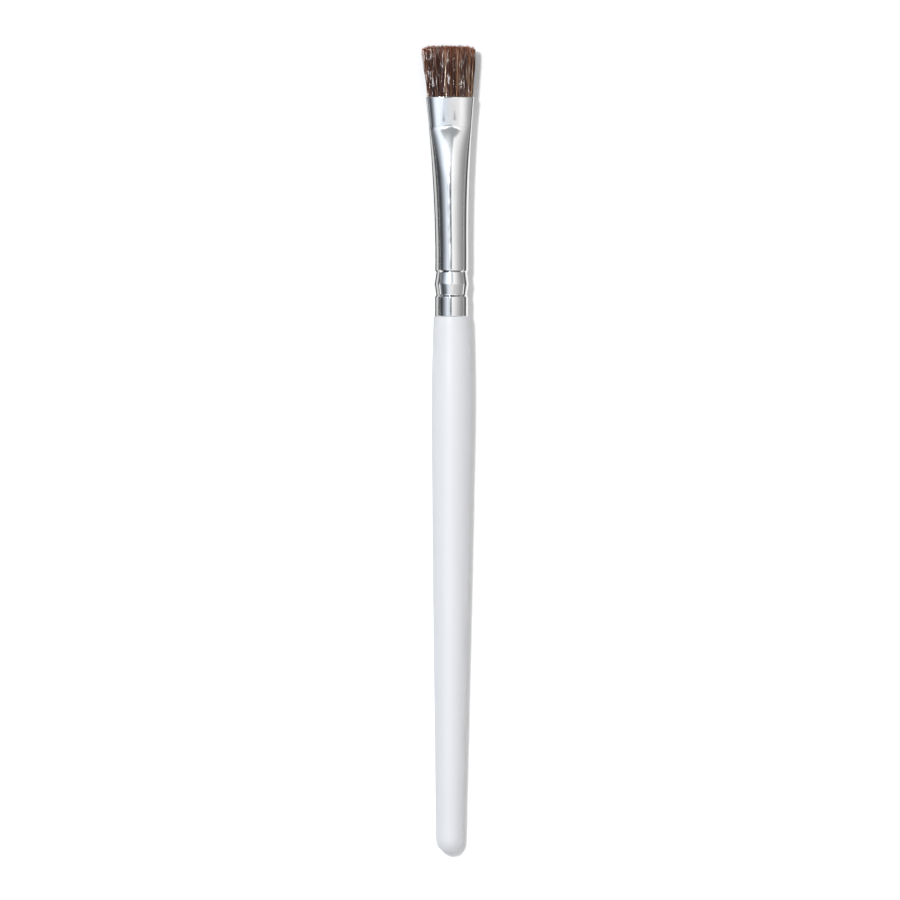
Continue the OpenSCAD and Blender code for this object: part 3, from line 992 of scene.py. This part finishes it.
def build_studio(strength):
    """Soft light from all round. The camera itself sees plain white."""
    world = bpy.data.worlds.new("Studio")
    bpy.context.scene.world = world
    world.use_nodes = True
    tree = world.node_tree
    tree.nodes.clear()
    way = add_node(tree, "ShaderNodeSeparateXYZ",
                   Vector=tree.nodes.new("ShaderNodeTexCoord").outputs["Generated"])
    x, y, z = way.outputs
    across = add_math(tree, "DEGREES", add_math(tree, "ARCTAN2", x, z))
    along = add_math(tree, "DEGREES", add_math(tree, "ARCSINE", y))
    tints = (LEFT_TINT, RIGHT_TINT)
    main, back, band, wedge, front = (
        angle_ramp(tree, across, RAMP_LIMIT, stops, tints)
        for stops in (STUDIO_LIGHT, STUDIO_BACK, STUDIO_BAND, STUDIO_WEDGE, STUDIO_FRONT))
    light = add_mix(tree, smooth_step(tree, along, *WEDGE_FROM), main, wedge)
    light = add_mix(tree, smooth_step(tree, along, *FRONT_FROM), light, front)
    light = add_gap(tree, light, across, along)
    light = add_mix(tree, smooth_step(tree, along, *BAND_FROM), band, light)
    light = add_mix(tree, smooth_step(tree, along, *BACK_FROM), back, light)
    end = smooth_step(tree, add_math(tree, "ABSOLUTE", along), *LIGHT_ENDS)
    light = add_mix(tree, end, light, add_mix(tree, 1.0, light, (BEYOND_ENDS,) * 3, "MULTIPLY"))
    around = add_node(tree, "ShaderNodeBackground", Color=light, Strength=strength)
    white = add_node(tree, "ShaderNodeBackground", Color=(1, 1, 1, 1), Strength=1.0)
    shown = tree.nodes.new("ShaderNodeMixShader")
    rays = tree.nodes.new("ShaderNodeLightPath")
    output = tree.nodes.new("ShaderNodeOutputWorld")
    tree.links.new(rays.outputs["Is Camera Ray"], shown.inputs[0])
    tree.links.new(around.outputs[0], shown.inputs[1])
    tree.links.new(white.outputs[0], shown.inputs[2])
    tree.links.new(shown.outputs[0], output.inputs["Surface"])


# Glowing cards beside the brush that only its reflections show, which paint light and dark bands
# into the metal's reflections: from, to and brightness of each
CARDS = (
    (-300 * MM, -19.5 * MM, 0.1),
    (-19.5 * MM, -6.6 * MM, 0.66),
    (-6.6 * MM, -3.0 * MM, 0.04),
    (3.1 * MM, 11.5 * MM, 1.0),
    (11.5 * MM, 28 * MM, 0.1),
    (28 * MM, 300 * MM, 0.32),
)
# Where the cards begin and end along the brush
CARD_FROM = 22 * MM
CARD_TO = 120 * MM
# How much brighter the floor looks than it is lit, how bright its grain stays, and how far it
# lies below the brush
FLOOR_GLOW = 0.05
PAPER_SHADE = 0.995
FLOOR_DROP = 0.02 * MM


def floor_material(colour):
    """Pale matte paper, which the camera and reflections see slightly brighter than it is lit."""
    material, tree, shader = new_material("FloorPaper")
    darker = tuple(PAPER_SHADE * c for c in colour)
    grain = mottle(tree, scale=900.0, stretch=1.0)
    feed(tree, shader.inputs["Base Color"], add_mix(tree, grain, darker, tuple(colour)))
    shader.inputs["Roughness"].default_value = 0.9
    shader.inputs["Specular IOR Level"].default_value = 0.0
    rays = tree.nodes.new("ShaderNodeLightPath")
    seen = add_math(tree, "MAXIMUM", rays.outputs["Is Camera Ray"], rays.outputs["Is Glossy Ray"])
    seen = add_math(tree, "MAXIMUM", seen, rays.outputs["Is Transmission Ray"])
    feed(tree, shader.inputs["Emission Strength"], add_math(tree, "MULTIPLY", seen, FLOOR_GLOW))
    shader.inputs["Emission Color"].default_value = (1, 1, 1, 1)
    return material


def card_material():
    """Card that glows evenly, at the brightness set for each card: a painted reflection, not a
    lamp.
    """
    material = bpy.data.materials.new("GlowingReflectionCard")
    material.use_nodes = True
    tree = material.node_tree
    tree.nodes.clear()
    card_glow = add_node(tree, "ShaderNodeAttribute", attribute_name="card_glow").outputs["Color"]
    glow = add_node(tree, "ShaderNodeEmission", Color=card_glow)
    output = tree.nodes.new("ShaderNodeOutputMaterial")
    tree.links.new(glow.outputs[0], output.inputs["Surface"])
    return material


# Direction of the lamp from the brush, and the camera's place over the floor
LAMP_WAY = (-0.25, 0.22, 1.0)
CAMERA_X = 0.53 * MM
CAMERA_Y = -0.14 * MM
CAMERA_ROLL = 0.0041
AXIS_HEIGHT = 3.6 * MM
SENSOR = 36.0
CLIP_FACTOR = 10


class BRUSH_OT_stage(bpy.types.Operator):
    """Build the floor, the lamp, the studio light and the camera"""

    bl_idname = "brush.stage"
    bl_label = "Stage"

    def execute(self, context):
        s = context.scene.brush_stage
        self.add_floor(s)
        self.add_cards()
        self.add_lamp(s)
        build_studio(s.studio_strength)
        self.add_camera(context, s)
        context.scene.view_settings.view_transform = "Standard"
        return {"FINISHED"}

    def add_floor(self, s):
        half = s.floor / 2
        mesh = bpy.data.meshes.new("floor")
        corners = [(-half, -half), (half, -half), (half, half), (-half, half)]
        mesh.from_pydata([(x, y, -FLOOR_DROP) for x, y in corners], [], [(0, 1, 2, 3)])
        mesh.materials.append(floor_material(s.floor_colour))
        link_object("floor", mesh)

    def add_cards(self):
        # Painted reflections: glowing strips that only glossy rays see, dark and bright bands for
        # the metal to mirror
        corners, card_glows = [], []
        for start, end, brightness in CARDS:
            corners += [(x, y, 0) for x, y in (
                (start, CARD_FROM), (end, CARD_FROM), (end, CARD_TO), (start, CARD_TO))]
            # Four corners of three equal colour channels
            card_glows += [brightness] * 4 * 3
        mesh = bpy.data.meshes.new("cards")
        mesh.from_pydata(corners, [], np.arange(4 * len(CARDS)).reshape(-1, 4).tolist())
        mesh.materials.append(card_material())
        card_glow = mesh.attributes.new("card_glow", "FLOAT_VECTOR", "POINT")
        card_glow.data.foreach_set("vector", card_glows)
        cards = link_object("cards", mesh)
        cards.visible_camera = False
        cards.visible_diffuse = False
        cards.visible_shadow = False
        cards.visible_transmission = False

    def add_lamp(self, s):
        data = bpy.data.lights.new("lamp", "AREA")
        data.shape = "DISK"
        data.size = s.lamp_size
        data.energy = s.lamp_power
        lamp = link_object("lamp", data)
        way = np.array(LAMP_WAY) / np.linalg.norm(LAMP_WAY)
        lamp.location = way * s.lamp_distance
        lamp.rotation_mode = "QUATERNION"
        lamp.rotation_quaternion = lamp.location.to_track_quat("Z", "Y")
        lamp.visible_camera = False

    def add_camera(self, context, s):
        data = bpy.data.cameras.new("camera")
        data.sensor_width = SENSOR
        data.lens = SENSOR * (s.camera_height - AXIS_HEIGHT) / s.frame_width
        data.clip_end = CLIP_FACTOR * s.camera_height
        camera = link_object("camera", data)
        camera.location = (CAMERA_X, CAMERA_Y, s.camera_height)
        camera.rotation_euler = (0, 0, CAMERA_ROLL)
        context.scene.camera = camera


class BRUSH_PT_panel(bpy.types.Panel):
    """Builds the brush, piece by piece"""

    bl_label = "Eyeliner Brush"
    bl_idname = "BRUSH_PT_panel"
    bl_space_type = "VIEW_3D"
    bl_region_type = "UI"
    bl_category = "Brush"

    def draw(self, context):
        for operator, group in STEPS:
            box = self.layout.box()
            box.operator(operator)
            if group:
                settings = getattr(context.scene, group)
                for name in settings.bl_rna.properties.keys():
                    if name not in ("rna_type", "name"):
                        box.prop(settings, name)


# Each operator with the settings that it reads
STEPS = (
    ("brush.stage", "brush_stage"),
    ("brush.handle", "brush_handle"),
    ("brush.ferrule", "brush_ferrule"),
    ("brush.adhesive", None),
    ("brush.tuft", "brush_tuft"),
)
SETTINGS = {
    "brush_handle": HandleSettings,
    "brush_ferrule": FerruleSettings,
    "brush_tuft": TuftSettings,
    "brush_stage": StageSettings,
}
CLASSES = (
    *SETTINGS.values(),
    BRUSH_OT_stage,
    BRUSH_OT_handle,
    BRUSH_OT_ferrule,
    BRUSH_OT_adhesive,
    BRUSH_OT_tuft,
    BRUSH_PT_panel,
)


def register():
    for cls in CLASSES:
        bpy.utils.register_class(cls)
    for name, cls in SETTINGS.items():
        setattr(bpy.types.Scene, name, PointerProperty(type=cls))


def unregister():
    for name in SETTINGS:
        delattr(bpy.types.Scene, name)
    for cls in reversed(CLASSES):
        bpy.utils.unregister_class(cls)


def main():
    register()
    for operator, _ in STEPS:
        category, action = operator.split(".")
        getattr(getattr(bpy.ops, category), action)()
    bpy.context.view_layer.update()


if __name__ == "__main__":
    main()
